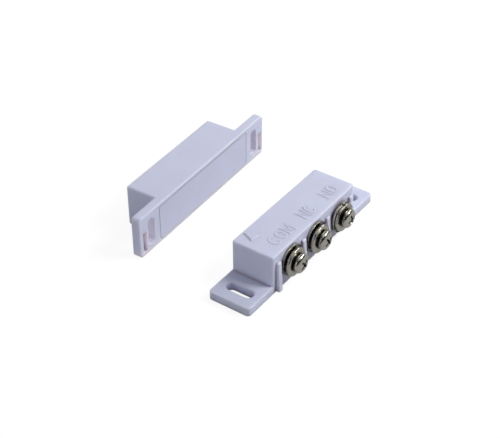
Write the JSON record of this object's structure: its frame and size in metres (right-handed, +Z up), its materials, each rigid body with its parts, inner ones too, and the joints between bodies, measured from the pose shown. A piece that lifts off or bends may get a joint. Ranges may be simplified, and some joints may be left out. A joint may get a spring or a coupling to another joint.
{
  "type": "magnetic door position switch",
  "caption": "Surface-mount door contact: slotted switch unit with screw terminals along one side, and its matching magnet unit standing behind it.",
  "frame": {"origin": "centre of the switch unit's base face, on the surface that both units stand on", "axes": "+X along the switch unit towards its normally open terminal, -Y out of the terminal side, +Z up out of the switch unit's top; the magnet unit stands at +Y with its base towards the switch unit"},
  "size_m": [0.0662, 0.0587, 0.0135],
  "materials": {
    "white_plastic": "satin moulded",
    "nickel_plate": "bright nickel plate",
    "spring_steel": "dark oiled",
    "terminal_brass": "plain",
    "reed_metal": "plain",
    "capsule_glass": "clear",
    "potting": "satin",
    "magnet_ferrite": "ground"
  },
  "bodies": {
    "units": {"switch_housing": "white_plastic", "switch_base_lid": "white_plastic", "com_cup_washer": "nickel_plate", "nc_cup_washer": "nickel_plate", "com_terminal_plate": "terminal_brass", "nc_terminal_plate": "terminal_brass", "no_terminal_plate": "terminal_brass", "reed_glass_capsule": "capsule_glass", "reed_com_blade": "reed_metal", "reed_nc_blade": "reed_metal", "reed_no_blade": "reed_metal", "reed_potting": "potting", "magnet_housing": "white_plastic", "magnet_base_lid": "white_plastic", "bar_magnet": "magnet_ferrite", "magnet_adhesive": "potting"},
    "com_clamp": {"com_clamp_washer": "nickel_plate", "com_lock_washer": "spring_steel"},
    "com_screw": {"com_terminal_screw": "nickel_plate"},
    "nc_clamp": {"nc_clamp_washer": "nickel_plate", "nc_lock_washer": "spring_steel"},
    "nc_screw": {"nc_terminal_screw": "nickel_plate"},
    "no_clamp": {"no_clamp_washer": "nickel_plate", "no_lock_washer": "spring_steel"},
    "no_screw": {"no_terminal_screw": "nickel_plate"},
    "no_cup": {"no_cup_washer": "nickel_plate"}
  },
  "joints": [
    {"name": "com_clamp_slide", "type": "slide", "parent": "units", "child": "com_clamp", "axis": [0, -1, 0], "range_m": [-0.0008, 0.002]},
    {"name": "com_screw_turn", "type": "hinge", "parent": "com_clamp", "child": "com_screw", "pos_m": [-0.0122, -0.0098, 0.00725], "axis": [0, -1, 0], "range_deg": [-576.2, 1440.2]},
    {"name": "nc_clamp_slide", "type": "slide", "parent": "units", "child": "nc_clamp", "axis": [0, -1, 0], "range_m": [-0.0008, 0.002]},
    {"name": "nc_screw_turn", "type": "hinge", "parent": "nc_clamp", "child": "nc_screw", "pos_m": [0, -0.0098, 0.00725], "axis": [0, -1, 0], "range_deg": [-576.2, 1440.2]},
    {"name": "no_clamp_slide", "type": "slide", "parent": "units", "child": "no_clamp", "axis": [0, -1, 0], "range_m": [-0.0008, 0.002]},
    {"name": "no_screw_turn", "type": "hinge", "parent": "no_clamp", "child": "no_screw", "pos_m": [0.0122, -0.0098, 0.00725], "axis": [0, -1, 0], "range_deg": [-576.2, 1440.2]},
    {"name": "no_cup_slide", "type": "slide", "parent": "units", "child": "no_cup", "axis": [0, -1, 0], "range_m": [-0.00078, 0.00194]}
  ],
  "couplings": [
    {"joint": "com_screw_turn", "follows": "com_clamp_slide", "rad_per_m": 12566},
    {"joint": "nc_screw_turn", "follows": "nc_clamp_slide", "rad_per_m": 12566},
    {"joint": "no_screw_turn", "follows": "no_clamp_slide", "rad_per_m": 12566},
    {"joint": "no_cup_slide", "follows": "no_clamp_slide", "ratio": 0.969}
  ]
}
